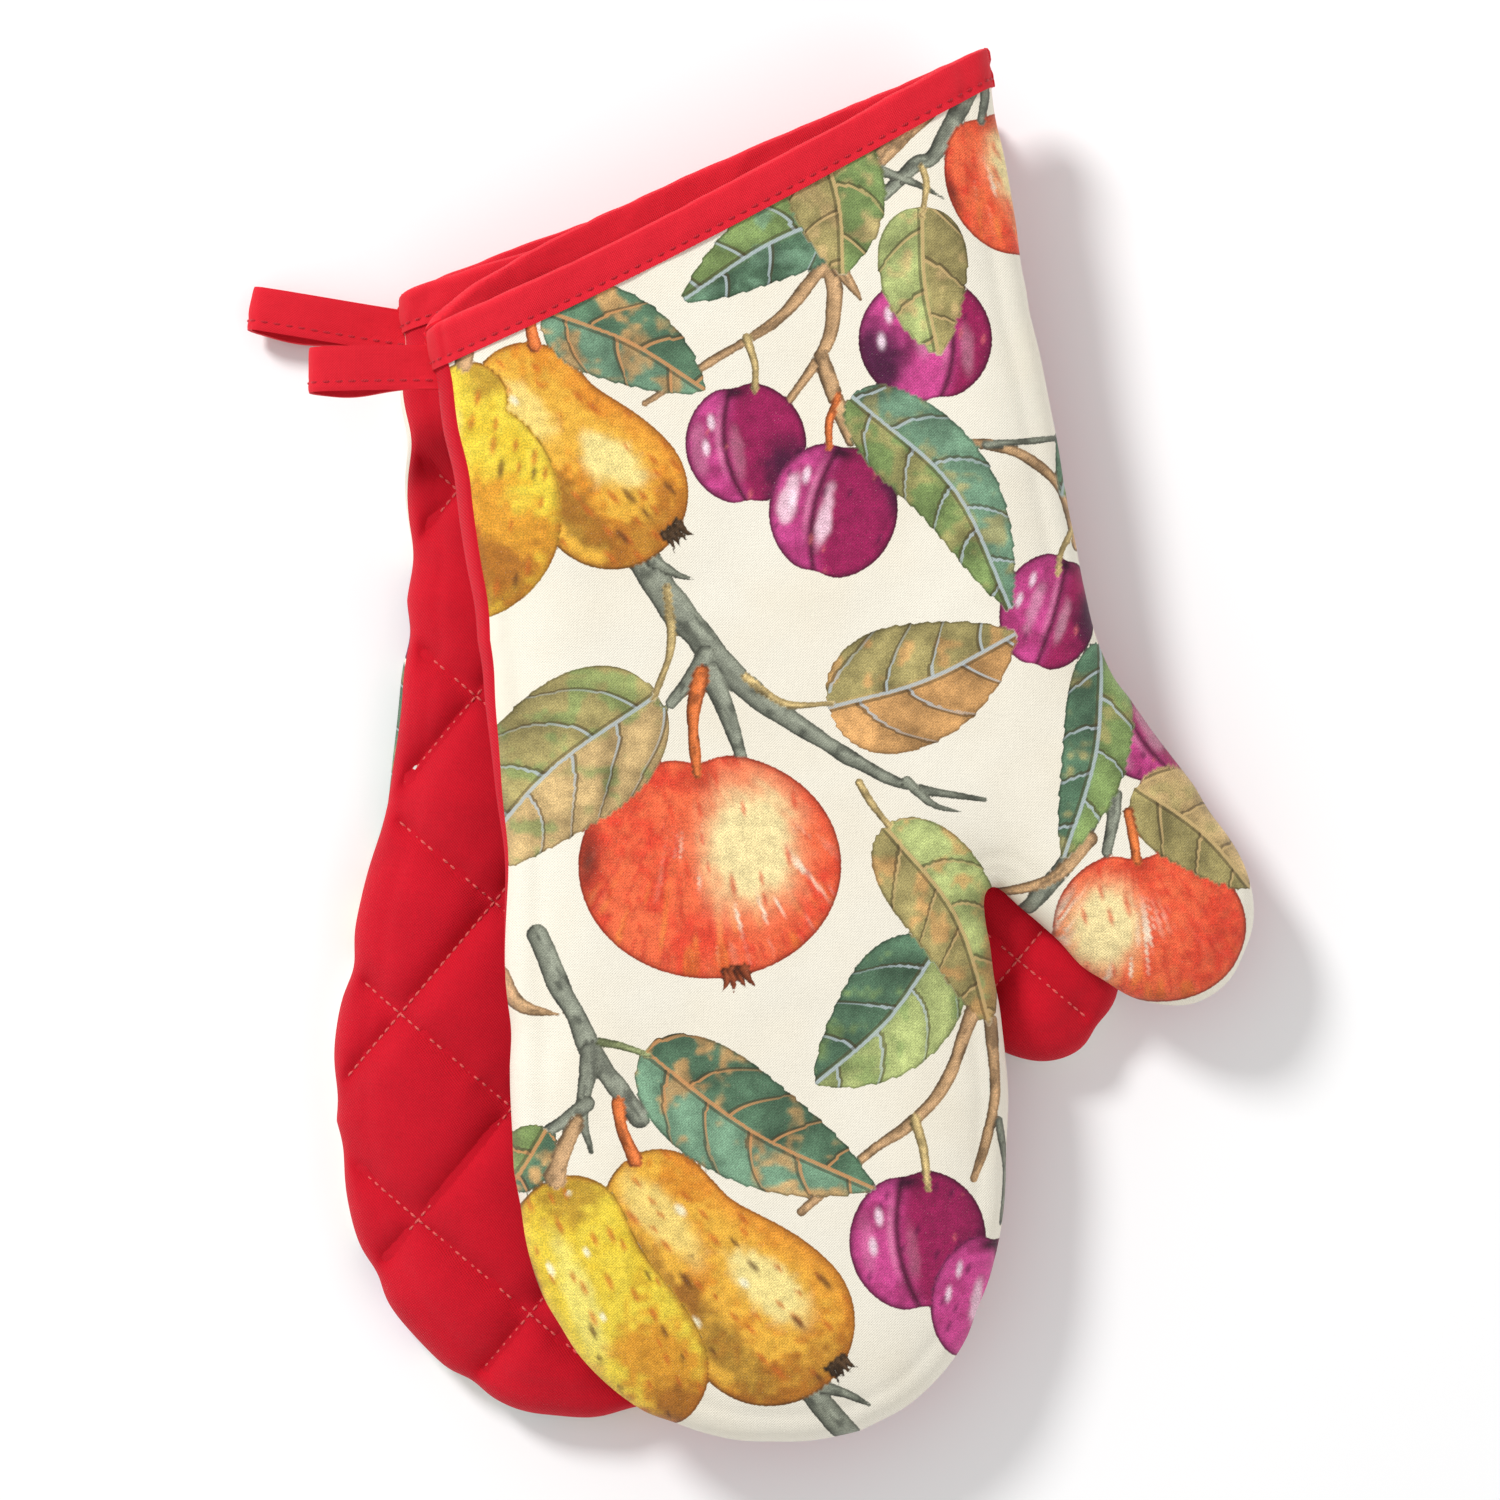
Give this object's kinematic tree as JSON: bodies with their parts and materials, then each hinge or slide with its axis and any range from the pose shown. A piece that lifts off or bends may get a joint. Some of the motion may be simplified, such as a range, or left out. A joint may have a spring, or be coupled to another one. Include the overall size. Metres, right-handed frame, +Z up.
{
  "type": "pair of oven mitts",
  "caption": "Pair of padded oven mitts lying one on the other, with a quilted palm, a printed cotton back, a bound slanted cuff, lining and a tape hanging loop.",
  "frame": {"origin": "on the surface that the pair lies on, under the middle of its bounding box", "axes": "+Z up off the surface, +Y towards the cuffs, +X towards the thumbs"},
  "size_m": [0.2344, 0.3205, 0.0469],
  "materials": {
    "printed_cotton": "fine plain-weave cotton with a printed pattern of fruit, leaves and twigs",
    "quilted_cotton": "red cotton twill, quilted in diamonds",
    "batting": "needled cotton wadding",
    "lining": "plain off-white cotton",
    "bias_tape": "folded red cotton tape",
    "thread": "twisted red sewing thread"
  },
  "bodies": {
    "lower_mitt": {"lower_back_shell": "printed_cotton", "lower_palm_shell": "quilted_cotton", "lower_back_batting": "batting", "lower_palm_batting": "batting", "lower_back_lining": "lining", "lower_palm_lining": "lining", "lower_cuff_binding": "bias_tape", "lower_binding_thread": "thread", "lower_quilting_thread": "thread"},
    "lower_loop": {"lower_hanging_loop": "bias_tape"},
    "upper_mitt": {"upper_back_shell": "printed_cotton", "upper_palm_shell": "quilted_cotton", "upper_back_batting": "batting", "upper_palm_batting": "batting", "upper_back_lining": "lining", "upper_palm_lining": "lining", "upper_cuff_binding": "bias_tape", "upper_binding_thread": "thread", "upper_quilting_thread": "thread"},
    "upper_loop": {"upper_hanging_loop": "bias_tape"}
  },
  "joints": [
    {"name": "upper_mitt_lift", "type": "slide", "parent": "lower_mitt", "child": "upper_mitt", "axis": [0, 0, 1], "range_m": [0, 0.12]},
    {"name": "upper_loop_swing", "type": "hinge", "parent": "upper_mitt", "child": "upper_loop", "pos_m": [-0.07303, 0.08646, 0.03528], "axis": [0.0021, 0.9997, 0.0261], "range_deg": [-50, 70]},
    {"name": "lower_loop_swing", "type": "hinge", "parent": "lower_mitt", "child": "lower_loop", "pos_m": [-0.08392, 0.09757, 0.00585], "axis": [0.1564, 0.9877, 0], "range_deg": [-70, 70]}
  ]
}
